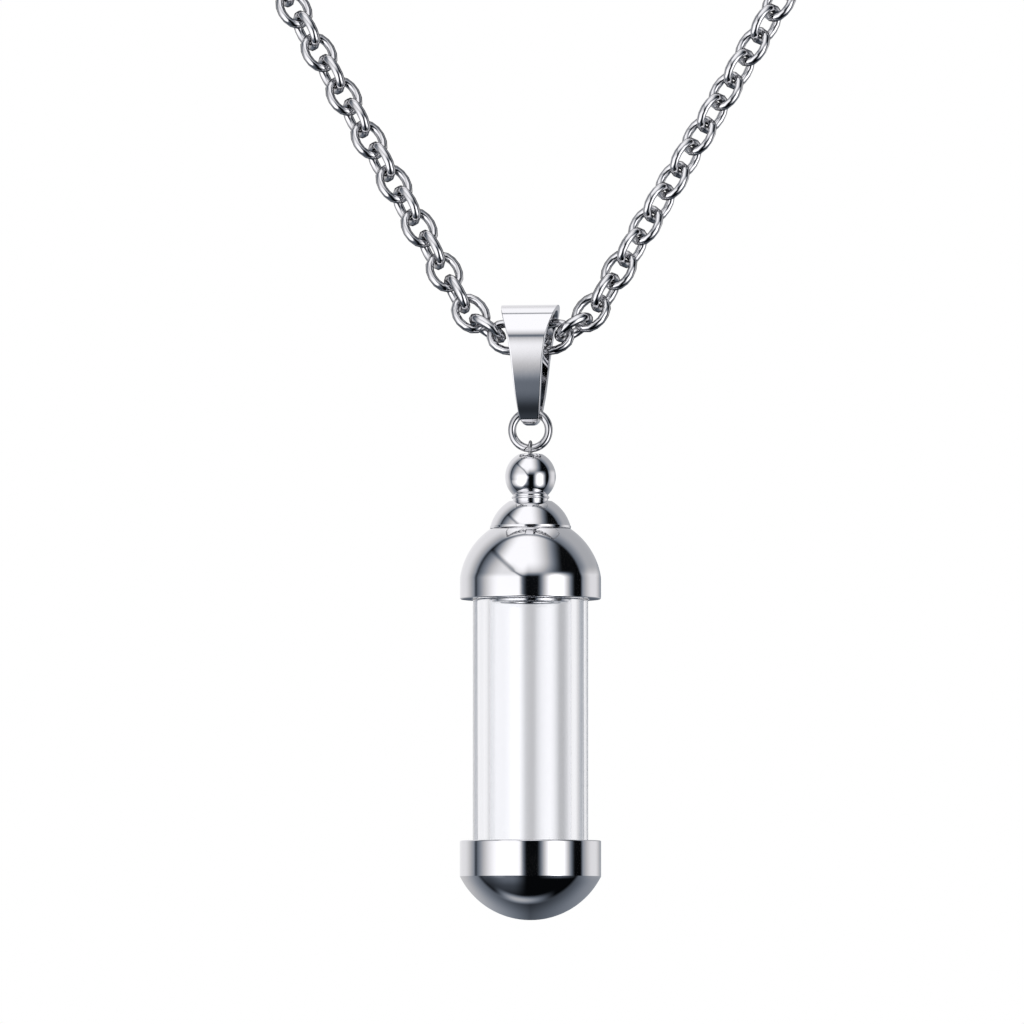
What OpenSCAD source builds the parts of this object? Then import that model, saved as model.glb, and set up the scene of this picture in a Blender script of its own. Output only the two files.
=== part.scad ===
// Keepsake urn pendant on a cable chain, in millimetres.
// +Z is up and the pendant hangs at the front, towards -Y. The origin is the point at the
// nape of the neck where the necklace rests. Heights of the pendant are worked out from the
// tip of its bottom cap, and the whole necklace is then moved so that the nape is at zero.

/* [Vial] */
// Diameter of both metal caps
cap_d = 12.0; // [11:0.1:14]
// Outer diameter of the glass tube
tube_d = 9.8; // [9:0.1:10.4]
// Bore of the glass tube, which holds the ashes
tube_bore = 7.0; // [6.9:0.1:7.6]
// Length of the glass that shows between the caps
tube_show = 20.5; // [14:0.5:30]
// Depth to which each end of the glass goes into its cap
tube_seat = 2.1; // [1.5:0.1:2.4]
// Glue gap between the glass and its caps
glue_gap = 0.06; // [0.04:0.01:0.1]
// Chamfer on the rims of the caps and round the filling bore
rim_chamfer = 0.12; // [0.05:0.01:0.2]

/* [Bottom cap] */
// Height of the bottom cap's straight wall
base_wall_h = 3.04; // [2.6:0.02:4]
// Height of the bottom cap's rounded end
base_dome_h = 3.72; // [2:0.02:5]

/* [Top cap] */
// Height of the top cap's straight wall
head_wall_h = 1.85; // [1.2:0.05:3]
// Depth of the middle of the top cap's dome below the top of the wall
head_dome_sink = 0.85; // [0:0.05:2]
// Diameter of the spigot inside the end of the glass
spigot_d = 6.6; // [6.2:0.1:6.8]
// How far the spigot shows below the rim
spigot_drop = 0.3; // [0.1:0.05:1]
// Filling bore, closed by the screw plug
fill_bore = 5.0; // [4.4:0.1:5.2]

/* [Screw plug] */
// Diameter of the plug's flange, where it sits on the top cap
plug_d = 6.9; // [6.4:0.1:7.2]
// Depth of the middle of the plug's small dome below the flange
plug_dome_sink = 0.7; // [0:0.05:1.5]
// Height of the plug's small dome
plug_dome_h = 2.3; // [1.6:0.05:2.6]
// Open seam between the plug and the top cap
seam_gap = 0.07; // [0.05:0.01:0.15]
// Running fit of the plug's thread in the filling bore, on the radius
thread_fit = 0.08; // [0.05:0.01:0.1]
// Length of the plug's thread
thread_len = 3.5; // [2:0.1:4]
// Diameter of the neck under the ball
neck_d = 3.0; // [2.4:0.1:3.4]
// Diameter of the bead round the neck
neck_bead_d = 3.3; // [3:0.1:3.6]
// Height of the neck between the dome and the ball
neck_h = 0.55; // [0.4:0.05:1]
// Diameter of the ball
ball_d = 4.32; // [3.8:0.02:5]

/* [Eye and jump ring] */
// Diameter of the flat on the ball, under the eye
eye_flat_d = 2.0; // [1.4:0.02:2.4]
// Wire of the eye on top of the ball
eye_wire = 0.3; // [0.25:0.05:0.5]
// Outer diameter of the jump ring
ring_d = 3.82; // [3.6:0.02:4.4]
// Wire of the jump ring
ring_wire = 0.68; // [0.6:0.02:0.8]
// Width of the saw cut through the jump ring
ring_split = 0.1; // [0.05:0.01:0.14]
// Free play round the jump ring's wire, in the eye and in the bail
ring_play = 0.18; // [0.15:0.01:0.22]

/* [Bail] */
// Outer radius of the bail's rolled top
bail_r = 2.9; // [2.8:0.05:3.4]
// Thickness of the bail's strip
bail_t = 0.5; // [0.4:0.05:0.6]
// Radius of the bow of the bail's front and back
bail_bow_r = 14; // [12:0.5:24]
// Height from the jump ring's wire up to the middle of the rolled top
bail_leg = 6.2; // [5:0.1:8]
// Width of the bail across its top
bail_top_w = 5.0; // [4.4:0.1:6]
// Width of the bail across its lower end
bail_end_w = 1.84; // [1.7:0.02:2]
// Width of the fold round the jump ring
bail_fold_w = 1.44; // [1.2:0.02:1.6]
// Height of the rolled top's middle above the lowest link
bail_over_link = 0.2; // [0.1:0.01:0.9]

/* [Chain] */
// Outer length of a link
link_len = 3.7; // [3.5:0.05:4]
// Outer width of a link
link_w = 3.04; // [2.9:0.02:3.3]
// Thickness of a link's wire, seen through the link's opening
link_wire = 0.60; // [0.56:0.01:0.61]
// Height of a link's wire, across the link's flat
link_high = 0.64; // [0.6:0.01:0.66]
// Free play between two links
link_gap = 0.26; // [0.24:0.01:0.32]
// Radius of the bend in the chain inside the bail
vee_r = 6.9; // [6.2:0.1:9]
// Further free play between the links of that bend
bend_play = 0.26; // [0.1:0.01:0.27]
// Rise of each strand above the horizontal, in degrees
vee_angle = 59.7; // [50:0.1:66]
// Backward lean of the two strands, in degrees
vee_lean = 7; // [0:1:12]
// Length of the straight part of each strand
vee_run = 46; // [40:1:50]
// Turn of the face-on link next to the bail about the chain, in degrees
roll_low = 8; // [0:1:20]
// Turn of the links higher up the strands, in degrees
roll_high = 38; // [0:1:45]

/* [Clasp] */
// Length of the clasp
clasp_len = 12; // [10:0.5:14]
// Width of the clasp
clasp_w = 4.6; // [4:0.1:6]
// Thickness of the clasp
clasp_t = 0.8; // [0.7:0.05:0.9]
// Metal left at the ends of the clasp's openings
clasp_bar = 0.9; // [0.7:0.05:1.1]
// Free play of the last link in the clasp
clasp_play = 0.36; // [0.3:0.02:0.5]

/* [Hidden] */
$fn = 96;

steel = [0.78, 0.78, 0.80];
bright_steel = [0.86, 0.86, 0.88];
glass = [0.86, 0.93, 0.95];

// The hidden stretch of the right-hand strand: x, y and z from the bend in the bail, from
// where the straight part ends, over the shoulder and round to the nape.
SHOULDER_ROUTE = [
    [39, 11, 63],
    [51, 28, 87],
    [59, 55, 105],
    [57, 86, 115],
    [36, 114, 119],
    [0, 126, 120]
];

// The bail's outline from the front. The columns are the height, as a share of the height
// from the jump ring's wire to the middle of the rolled top, and the half width, as a share
// of the way from the half width of the lower end to that of the top.
BAIL_OUTLINE = [
    [0.00, 0.00],
    [0.22, 0.11],
    [0.42, 0.18],
    [0.72, 0.28],
    [1.00, 0.44],
    [1.15, 0.58],
    [1.31, 0.79],
    [1.50, 1.02]
];

// Heights of the pendant, from the tip of the bottom cap
cap_r = cap_d / 2;
base_dome_r = (cap_r * cap_r + base_dome_h * base_dome_h) / (2 * base_dome_h);
base_rim_z = base_dome_h + base_wall_h;
head_rim_z = base_rim_z + tube_show;
head_wall_z = head_rim_z + head_wall_h;
head_dome_z = head_wall_z - head_dome_sink;
head_dome_r = norm([cap_r, head_dome_sink]);
head_top_z = head_dome_z + sqrt(head_dome_r * head_dome_r - plug_d * plug_d / 4);
seat_r = tube_d / 2 + glue_gap;
spigot_r = spigot_d / 2;
fill_r = fill_bore / 2;

plug_z = head_top_z + seam_gap;
plug_dome_z = plug_z - plug_dome_sink;
plug_dome_r = norm([plug_d / 2, plug_dome_sink]);
neck_z = plug_z + plug_dome_h;
ball_r = ball_d / 2;
ball_z = neck_z + neck_h + sqrt(ball_r * ball_r - neck_d * neck_d / 4);

// The eye's flat is cut across the ball where the jump ring's wire just clears it
ring_wire_r = ring_wire / 2;
ring_r = ring_d / 2 - ring_wire_r;
eye_bore_r = ring_wire_r + ring_play;
eye_r = eye_bore_r + eye_wire / 2;
eye_flat_z = ball_z + sqrt(ball_r * ball_r - eye_flat_d * eye_flat_d / 4);
eye_sink = 0.03;
eye_z = eye_flat_z + eye_bore_r - eye_sink;
ring_z = eye_z + ring_r;

// The bail's lower end holds the jump ring's wire, whose bend stays clear of the lip
bail_z = ring_z + ring_r;
roll_z = bail_z + bail_leg;
roll_in_r = bail_r - bail_t;
lip_half = bail_fold_w / 2;
ring_sag = ring_r - sqrt(ring_r * ring_r - lip_half * lip_half);
lip_r = ring_wire_r + ring_sag + ring_play;
lip_out_r = lip_r + bail_t;
apex_z = roll_z - bail_over_link;

// Link sizes
link_straight = link_len - link_w;
link_pitch = link_len - 2 * link_wire - link_gap;

function unit(v) = v / norm(v);

// Smooth curve from b to c, steered by its neighbours a and d
function between(a, b, c, d, t) =
    0.5 * (2 * b + (c - a) * t + (2 * a - 5 * b + 4 * c - d) * t * t
           + (3 * b - 3 * c + d - a) * t * t * t);

function leant(p) = [p[0], p[1] + p[2] * tan(vee_lean), p[2]];

// Right half of the route from the lowest link: bend, straight strand, shoulder, nape
bend_end = [vee_r * sin(vee_angle), 0, vee_r * (1 - cos(vee_angle))];
strand_dir = [cos(vee_angle), 0, sin(vee_angle)];
run_points = [for (s = [0.25 : 0.25 : 1]) leant(bend_end + s * vee_run * strand_dir)];
bend_points = [for (i = [0 : 24])
    leant([vee_r * sin(vee_angle * i / 24), 0, vee_r * (1 - cos(vee_angle * i / 24))])];
route_knots = concat([run_points[2], run_points[3]], SHOULDER_ROUTE,
    [[-SHOULDER_ROUTE[len(SHOULDER_ROUTE) - 2][0], SHOULDER_ROUTE[len(SHOULDER_ROUTE) - 2][1],
      SHOULDER_ROUTE[len(SHOULDER_ROUTE) - 2][2]]]);
shoulder_points = [for (k = [1 : len(route_knots) - 3]) for (i = [1 : 16])
    between(route_knots[k - 1], route_knots[k], route_knots[k + 1], route_knots[k + 2], i / 16)];
route = concat(bend_points, run_points, shoulder_points);
route_at = [for (i = 0, s = 0; i < len(route);
    s = s + (i + 1 < len(route) ? norm(route[i + 1] - route[i]) : 0), i = i + 1) s];
half_len = route_at[len(route_at) - 1];

// The last link on each side hooks through the clasp
clasp_reach = clasp_len / 2 - clasp_bar - clasp_play - link_wire + link_len / 2;
half_links = 2 * ceil(((half_len - clasp_reach) / link_pitch - 1) / 2) + 1;
// The bend spreads over this many steps on each side
bend_links = 3.5;
step = (half_len - clasp_reach + bend_links * bend_play) / half_links;

function point_at(s) = [for (a = [0 : 2])
    lookup(s, [for (i = [0 : len(route) - 1]) [route_at[i], route[i][a]]])];

// Where each link meets the next. A link lies straight between its two meeting points
function meet_s(k) = (k + 0.5) * step - min(k + 0.5, bend_links) * bend_play;
first_meet = point_at(meet_s(0));
meet_at = concat([[-first_meet[0], first_meet[1], first_meet[2]]],
    [for (k = [0 : half_links]) point_at(meet_s(k))]);
link_at = [for (k = [0 : half_links]) (meet_at[k] + meet_at[k + 1]) / 2];
link_dir = [for (k = [0 : half_links]) unit(meet_at[k + 1] - meet_at[k])];

// The side of each link that faces forward at the bail, carried along the chain untwisted
link_face = [for (k = 0, n = [0, -1, 0]; k <= half_links;
    k = k + 1,
    n = k <= half_links ? unit(n - (n * link_dir[k]) * link_dir[k]) : n) n];

// Turn of a link about the chain: low at the bail, high up the strands, none at the nape
roll_rise_links = 8;
function link_roll(k) = k <= roll_rise_links
    ? roll_low + (roll_high - roll_low) * k / roll_rise_links
    : roll_high * (half_links - k) / (half_links - roll_rise_links);

// The clasp lies flat on the nape, and the links beside it touch the neck
clasp_dir = [1, 0, 0];
clasp_face = unit([0, link_face[half_links][1], link_face[half_links][2]]);
clasp_back = cross(clasp_face, clasp_dir);
nape = [0, link_at[half_links][1], link_at[half_links][2]];
rest_at = [0, 0, apex_z] + nape - clasp_back * link_w / 2;

module placed() {
    translate(-rest_at) children();
}

// Moves what is drawn at the origin to p, with its X along t and its Z along n
module framed(p, t, n) {
    w = cross(n, t);
    multmatrix([
        [t[0], w[0], n[0], p[0]],
        [t[1], w[1], n[1], p[1]],
        [t[2], w[2], n[2], p[2]],
        [0, 0, 0, 1]
    ]) children();
}

// Outline of a strap round two circles, one at the origin and one at height h
module strap(low_r, high_r, h) {
    tilt = asin((high_r - low_r) / h);
    circle(low_r);
    translate([0, h]) circle(high_r);
    polygon([
        [low_r * cos(tilt), -low_r * sin(tilt)],
        [high_r * cos(tilt), h - high_r * sin(tilt)],
        [-high_r * cos(tilt), h - high_r * sin(tilt)],
        [-low_r * cos(tilt), -low_r * sin(tilt)]
    ]);
}

// The same with sides that bow outwards, as arcs that touch both circles
module bowed_strap(low_r, high_r, h, bow_r) {
    bow_z = (h * h + (high_r - low_r) * (2 * bow_r - low_r - high_r)) / (2 * h);
    bow_y = sqrt(pow(bow_r - low_r, 2) - bow_z * bow_z);
    from_z = -low_r * bow_z / (bow_r - low_r);
    to_z = h + high_r * (h - bow_z) / (bow_r - high_r);
    circle(low_r);
    translate([0, h]) circle(high_r);
    intersection() {
        translate([-bow_y, bow_z]) circle(bow_r);
        translate([bow_y, bow_z]) circle(bow_r);
        translate([-bow_r, from_z]) square([2 * bow_r, to_z - from_z]);
    }
}

// One link, long along X and flat in XY
module link() {
    end_r = link_w / 2;
    linear_extrude(link_high, center = true)
        translate([-link_straight / 2, 0])
            rotate(-90)
                difference() {
                    strap(end_r, end_r, link_straight);
                    strap(end_r - link_wire, end_r - link_wire, link_straight);
                }
}

// Places link k, counted up the right-hand strand and, below zero, up the left-hand one.
// Every other link is turned a quarter
module placed_link(k) {
    i = abs(k);
    side = k < 0 ? -1 : 1;
    t = [side * link_dir[i][0], link_dir[i][1], link_dir[i][2]];
    n = [side * link_face[i][0], link_face[i][1], link_face[i][2]];
    turn = side * link_roll(i) + (i % 2 == 0 ? 90 : 0);
    face = n * cos(turn) + cross(n, t) * sin(turn);
    framed([side * link_at[i][0], link_at[i][1], link_at[i][2]], t, face) link();
}

module chain() {
    color(steel)
        placed()
            translate([0, 0, apex_z])
                for (k = [-half_links : half_links])
                    placed_link(k);
}

module clasp() {
    hook_r = clasp_w / 2;
    eye_hole_r = 1.1;
    eye_out_r = eye_hole_r + clasp_bar;
    spread = clasp_len - hook_r - eye_out_r;
    color(steel)
        placed()
            translate([0, 0, apex_z])
                framed(nape, clasp_dir, clasp_back)
                    translate([eye_out_r - clasp_len / 2, 0, -clasp_t / 2])
                        linear_extrude(clasp_t)
                            difference() {
                                rotate(-90) strap(eye_out_r, hook_r, spread);
                                circle(eye_hole_r);
                                translate([0.45 * spread, 0])
                                    rotate(-90)
                                        strap(hook_r - clasp_bar, hook_r - clasp_bar, 0.55 * spread);
                            }
}

// The bail is one strip, rolled at the top and folded round the jump ring
module bail() {
    end_half = bail_end_w / 2;
    top_half = bail_top_w / 2;
    right = concat(
        [[0.6 * lip_half, -lip_out_r - 0.01], [lip_half, -0.6 * lip_out_r]],
        [for (row = BAIL_OUTLINE) [end_half + row[1] * (top_half - end_half), row[0] * bail_leg]]
    );
    left = [for (i = [len(right) - 1 : -1 : 0]) [-right[i][0], right[i][1]]];
    color(bright_steel)
        placed()
            translate([0, 0, bail_z])
                intersection() {
                    rotate([90, 0, 90])
                        linear_extrude(2 * bail_top_w, center = true)
                            difference() {
                                bowed_strap(lip_out_r, bail_r, bail_leg, bail_bow_r + bail_t);
                                bowed_strap(lip_r, roll_in_r, bail_leg, bail_bow_r);
                            }
                    rotate([90, 0, 0])
                        linear_extrude(4 * bail_r, center = true)
                            polygon(concat(right, left));
                }
}

module jump_ring() {
    split_turn = 12;
    split_slant = -35;
    color(steel)
        placed()
            translate([0, 0, ring_z])
                rotate([90, 0, 0])
                    difference() {
                        rotate_extrude() translate([ring_r, 0]) circle(ring_wire_r);
                        rotate(-90 - split_turn)
                            translate([ring_r, 0, 0])
                                rotate(split_slant)
                                    cube([3 * ring_wire, ring_split, 2 * ring_wire], center = true);
                    }
}

// Everything that turns out of the top cap: thread, small dome, neck, ball and eye
module screw_plug() {
    thread_r = fill_r - thread_fit;
    neck_r = neck_d / 2;
    bead_r = (neck_bead_d - neck_d) / 2;
    color(bright_steel)
        placed() {
            rotate_extrude() {
                polygon([
                    [0, plug_z - thread_len],
                    [thread_r - rim_chamfer, plug_z - thread_len],
                    [thread_r, plug_z - thread_len + rim_chamfer],
                    [thread_r, plug_z],
                    [0, plug_z]
                ]);
                intersection() {
                    translate([0, plug_dome_z]) circle(plug_dome_r);
                    translate([0, plug_z]) square([plug_d / 2, plug_dome_h]);
                }
                translate([0, plug_z]) square([neck_r, ball_z - plug_z]);
                translate([neck_r, neck_z + 0.6 * neck_h]) circle(bead_r);
                intersection() {
                    translate([0, ball_z]) circle(ball_r);
                    translate([0, ball_z - ball_r]) square([ball_d, eye_flat_z - ball_z + ball_r]);
                }
            }
            translate([0, 0, eye_z])
                rotate([0, 90, 0])
                    rotate_extrude() translate([eye_r, 0]) circle(eye_wire / 2);
        }
}

module top_cap() {
    seat_z = head_rim_z + tube_seat + glue_gap;
    spigot_z = head_rim_z - spigot_drop;
    color(bright_steel)
        placed()
            rotate_extrude()
                difference() {
                    union() {
                        polygon([
                            [fill_r, spigot_z],
                            [spigot_r, spigot_z],
                            [spigot_r, head_rim_z],
                            [cap_r - rim_chamfer, head_rim_z],
                            [cap_r, head_rim_z + rim_chamfer],
                            [cap_r, head_wall_z],
                            [fill_r, head_wall_z]
                        ]);
                        intersection() {
                            translate([0, head_dome_z]) circle(head_dome_r);
                            translate([fill_r, head_wall_z])
                                square([cap_r - fill_r, head_top_z - head_wall_z]);
                        }
                    }
                    polygon([
                        [spigot_r, head_rim_z - rim_chamfer],
                        [seat_r + 2 * rim_chamfer, head_rim_z - rim_chamfer],
                        [seat_r, head_rim_z + rim_chamfer],
                        [seat_r, seat_z],
                        [spigot_r, seat_z]
                    ]);
                }
}

module glass_tube() {
    low_z = base_rim_z - tube_seat;
    color(glass, 0.5)
        placed()
            translate([0, 0, low_z])
                difference() {
                    cylinder(h = tube_show + 2 * tube_seat, d = tube_d);
                    translate([0, 0, -1]) cylinder(h = tube_show + 2 * tube_seat + 2, d = tube_bore);
                }
}

module bottom_cap() {
    floor_z = base_rim_z - tube_seat - glue_gap;
    color(bright_steel)
        placed()
            rotate_extrude() {
                polygon([
                    [0, base_dome_h],
                    [cap_r, base_dome_h],
                    [cap_r, base_rim_z - rim_chamfer],
                    [cap_r - rim_chamfer, base_rim_z],
                    [seat_r + rim_chamfer, base_rim_z],
                    [seat_r, base_rim_z - rim_chamfer],
                    [seat_r, floor_z],
                    [0, floor_z]
                ]);
                intersection() {
                    translate([0, base_dome_r]) circle(base_dome_r);
                    square([cap_r, base_dome_h]);
                }
            }
}

chain();
clasp();
bail();
jump_ring();
screw_plug();
top_cap();
glass_tube();
bottom_cap();
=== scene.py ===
# %% [markdown]
# A keepsake urn pendant: a clear glass tube for ashes between two domed steel caps, a screw
# plug with a ball on top, a jump ring, a tapered bail and a cable chain. Every metal piece is
# polished like a mirror, so most of what we see on it is the studio around it.
# We start by loading the CAD model. It gives the true sizes and places, and each piece that
# is made here replaces its CAD node.

# %% Load the CAD frame
import bmesh
import bpy
import math
import numpy as np
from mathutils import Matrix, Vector


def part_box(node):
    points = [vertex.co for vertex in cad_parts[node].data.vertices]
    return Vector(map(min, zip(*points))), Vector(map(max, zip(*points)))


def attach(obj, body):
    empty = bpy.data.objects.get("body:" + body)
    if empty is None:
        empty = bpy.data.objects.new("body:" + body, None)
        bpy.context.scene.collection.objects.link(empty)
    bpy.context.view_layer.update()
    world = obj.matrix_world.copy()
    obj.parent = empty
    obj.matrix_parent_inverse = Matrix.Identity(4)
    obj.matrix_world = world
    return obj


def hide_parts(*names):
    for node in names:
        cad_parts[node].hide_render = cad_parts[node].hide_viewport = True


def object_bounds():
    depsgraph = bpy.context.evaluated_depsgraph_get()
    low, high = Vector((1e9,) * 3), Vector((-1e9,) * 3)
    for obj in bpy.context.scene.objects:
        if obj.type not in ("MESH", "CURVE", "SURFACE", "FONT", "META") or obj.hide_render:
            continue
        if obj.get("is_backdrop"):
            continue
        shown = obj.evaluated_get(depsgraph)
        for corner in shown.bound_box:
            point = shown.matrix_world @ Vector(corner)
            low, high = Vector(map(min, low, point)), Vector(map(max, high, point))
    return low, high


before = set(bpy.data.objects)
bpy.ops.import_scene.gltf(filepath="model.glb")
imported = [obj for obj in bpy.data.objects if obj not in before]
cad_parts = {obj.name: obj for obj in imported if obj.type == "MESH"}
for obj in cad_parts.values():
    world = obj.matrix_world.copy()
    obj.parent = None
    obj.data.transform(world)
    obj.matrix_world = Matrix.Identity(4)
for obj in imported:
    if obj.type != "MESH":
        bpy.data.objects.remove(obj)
cad_low, cad_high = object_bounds()
print("CAD box in mm:", [round((b - a) * 1000, 1) for a, b in zip(cad_low, cad_high)])

# %% [markdown]
# The pendant is a stack of turned pieces on one upright axis. Sizes could be read off the CAD
# meshes, but a maker's drawing is easier to follow, so each piece below writes its own as
# heights above the tip of the bottom cap, in millimetres. Blender works in metres.
# The helper `spot` turns a place given that way into a point of the scene. Only the tip and
# the axis are read from the CAD frame.

# %% Measure from the tip
MM = 0.001
tip_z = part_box("bottom_cap")[0].z
glass_low, glass_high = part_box("glass_tube")
axis_y = (glass_low.y + glass_high.y) / 2


def spot(x, y, z):
    """A point in the scene from millimetres across, behind and above the pendant's tip."""
    return Vector((x * MM, axis_y + y * MM, tip_z + z * MM))


print("the tip lies at", round(tip_z / MM, 2), "mm, the axis at", round(axis_y / MM, 2), "mm")

# %% [markdown]
# The photograph was taken with a long lens from about three quarters of a metre. The camera
# stands a little to the right of the pendant, so that the bail shows its right-hand edge, and
# a little below its middle, so that the seam under the small dome bows upwards. A camera could
# be pointed with a constraint, but its turn is worked out here, because the studio light below
# needs the camera's own directions.

# %% Camera
YAW, LOOK_UP = math.radians(7.5), math.radians(3.0)
DISTANCE, SENSOR = 0.75, 36.0
PICTURE_PX, PX_PER_MM = 1024, 11.75
AIM_Z, AIM_LEFT = 34.7, 1.57
NEAREST, FARTHEST = 0.01, 50

to_camera = Vector((
    math.sin(YAW) * math.cos(LOOK_UP),
    -math.cos(YAW) * math.cos(LOOK_UP),
    -math.sin(LOOK_UP),
))
camera_right = Vector((math.cos(YAW), math.sin(YAW), 0))
camera_up = camera_right.cross(-to_camera)
aim = spot(0, 0, AIM_Z) - camera_right * AIM_LEFT * MM

camera_data = bpy.data.cameras.new("photo_camera")
camera_data.sensor_width = SENSOR
camera_data.lens = SENSOR * DISTANCE / (PICTURE_PX / PX_PER_MM * MM)
camera_data.clip_start, camera_data.clip_end = NEAREST, FARTHEST
camera = bpy.data.objects.new("photo_camera", camera_data)
bpy.context.scene.collection.objects.link(camera)
camera.location = aim + to_camera * DISTANCE
camera.rotation_euler = (-to_camera).to_track_quat("-Z", "Y").to_euler()
bpy.context.scene.camera = camera
bpy.context.scene.view_settings.view_transform = "Standard"
print("camera at", tuple(round(c, 3) for c in camera.location), "lens", round(camera_data.lens))

# %% [markdown]
# The light, the finishes and the chain are all node trees. Adding nodes one by one hides what
# a tree works out, so a small kit gives each kind of maths a plain name. `edge` is the one
# that is used most: a soft step between two places.

# %% Node helpers


class NodeKit:
    """Adds maths to a node tree with plain calls, each giving back its output socket."""

    def __init__(self, tree):
        self.tree = tree

    def node(self, kind, **settings):
        made = self.tree.nodes.new(kind)
        for key, value in settings.items():
            setattr(made, key, value)
        return made

    def feed(self, socket, value):
        if isinstance(value, bpy.types.NodeSocket):
            self.tree.links.new(value, socket)
        else:
            socket.default_value = value

    def maths(self, operation, a, b=0.0):
        made = self.node("ShaderNodeMath", operation=operation)
        self.feed(made.inputs[0], a)
        self.feed(made.inputs[1], b)
        return made.outputs[0]

    def dot(self, vector, direction):
        made = self.node("ShaderNodeVectorMath", operation="DOT_PRODUCT")
        self.feed(made.inputs[0], vector)
        self.feed(made.inputs[1], tuple(direction))
        return made.outputs["Value"]

    def edge(self, value, start, end, low=0.0, high=1.0):
        """Goes smoothly from low to high as value goes from start to end."""
        made = self.node("ShaderNodeMapRange", interpolation_type="SMOOTHSTEP", clamp=True)
        sockets = ("Value", "From Min", "From Max", "To Min", "To Max")
        for name, v in zip(sockets, (value, start, end, low, high)):
            self.feed(made.inputs[name], v)
        return made.outputs["Result"]

    def falls(self, value, start, end):
        """Goes smoothly from 1 to 0 as value goes from start to end."""
        return self.edge(value, start, end, 1.0, 0.0)

    def times(self, *values):
        total = values[0]
        for v in values[1:]:
            total = self.maths("MULTIPLY", total, v)
        return total

    def plus(self, *values):
        total = values[0]
        for v in values[1:]:
            total = self.maths("ADD", total, v)
        return total

    def less(self, a, b):
        return self.maths("SUBTRACT", a, b)

    def between(self, factor, a, b):
        """a where factor is 0 and b where it is 1."""
        made = self.node("ShaderNodeMix", data_type="FLOAT")
        for socket, v in zip((made.inputs[0], made.inputs[2], made.inputs[3]), (factor, a, b)):
            self.feed(socket, v)
        return made.outputs[0]

    def mixed_colour(self, factor, a, b):
        """Colour a where factor is 0 and colour b where it is 1."""
        made = self.node("ShaderNodeMix", data_type="RGBA")
        for socket, v in zip((made.inputs[0], made.inputs[6], made.inputs[7]), (factor, a, b)):
            self.feed(socket, v)
        return made.outputs[2]


print("node helpers:", ", ".join(n for n in vars(NodeKit) if not n.startswith("_")))

# %% [markdown]
# Polished steel shows the studio, so the light has to be built with care. The photographer
# used a white tent: a softbox on the left, a smaller one on the right, a large one overhead,
# a black gap for the lens in the middle and a paler sheet behind the piece.
# Lamps and panels would do it too, but a polished cap would show the hard edge of each panel.
# Here each of these is painted on the sky of the scene with a few soft edges. The places are
# given as they appear on a polished ball seen from the camera: `across` and `up` run from -1
# to 1, and `rim` is the distance from the ball's middle.

# %% Studio light: places on the polished ball
SMALLEST = 0.0001
EDGE, EDGE_SHIFT, EDGE_SOFT = 0.748, 0.03, 0.012

world = bpy.data.worlds.new("light_tent")
bpy.context.scene.world = world
world.use_nodes = True
world.node_tree.nodes.clear()
kit = NodeKit(world.node_tree)

direction = kit.node("ShaderNodeTexCoord").outputs["Generated"]
towards = kit.dot(direction, to_camera)
widen = kit.maths("SQRT", kit.maths("MAXIMUM", kit.times(kit.plus(towards, 1.0), 2.0), SMALLEST))
across = kit.maths("DIVIDE", kit.dot(direction, camera_right), widen)
up = kit.maths("DIVIDE", kit.dot(direction, camera_up), widen)

# The edge between the tent's front and the sheet behind is a circle on the polished ball
across_squared = kit.maths("POWER", kit.plus(across, EDGE_SHIFT), 2.0)
rim = kit.maths("SQRT", kit.plus(across_squared, kit.maths("POWER", up, 2.0)))
behind = kit.edge(rim, EDGE - EDGE_SOFT, EDGE + EDGE_SOFT)
print("the sheet behind starts at", EDGE, "of the ball's radius")

# %% [markdown]
# The front of the tent holds the three softboxes. Each is a product of soft edges: it is there
# where all its edges are 1. Pairs of numbers say where an edge starts and ends on the ball. The
# seam between the overhead and the left softbox slants, as a corner of a tent does, and sags a
# little next to the black gap.

# %% Studio light: the front of the tent
SAG_LEFT, SAG_RIGHT, SAG_SEAM, SAG_LIFT = (-0.26, -0.13), (-0.12, -0.02), 0.045, 0.07
SLANT_ACROSS, SLANT_UP = 0.704, 0.746

sag = kit.times(kit.edge(across, *SAG_LEFT), kit.falls(across, *SAG_RIGHT))
slant = kit.plus(kit.times(across, SLANT_ACROSS), kit.times(up, SLANT_UP), kit.times(sag, SAG_SEAM))

# Overhead, with its far corners cut off by the tent's slanting sides
OVERHEAD_POWER, OVERHEAD_SEAM, OVERHEAD_FOOT = 1.37, (-0.012, 0.07), (0.043, 0.386)
OVERHEAD_RIGHT, RIGHT_LEAN = (0.03, 0.48), 0.09
OVERHEAD_CORNER, CORNER_UP, CORNER_ACROSS = (0.69, 1.08), 0.78, -1.2
overhead = kit.times(
    kit.edge(slant, *OVERHEAD_SEAM),
    kit.edge(kit.plus(up, kit.times(sag, SAG_LIFT)), *OVERHEAD_FOOT),
    kit.falls(kit.plus(across, kit.times(up, RIGHT_LEAN)), *OVERHEAD_RIGHT),
    kit.falls(kit.plus(kit.times(up, CORNER_UP), kit.times(across, CORNER_ACROSS)), *OVERHEAD_CORNER),
    OVERHEAD_POWER,
)

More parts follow.
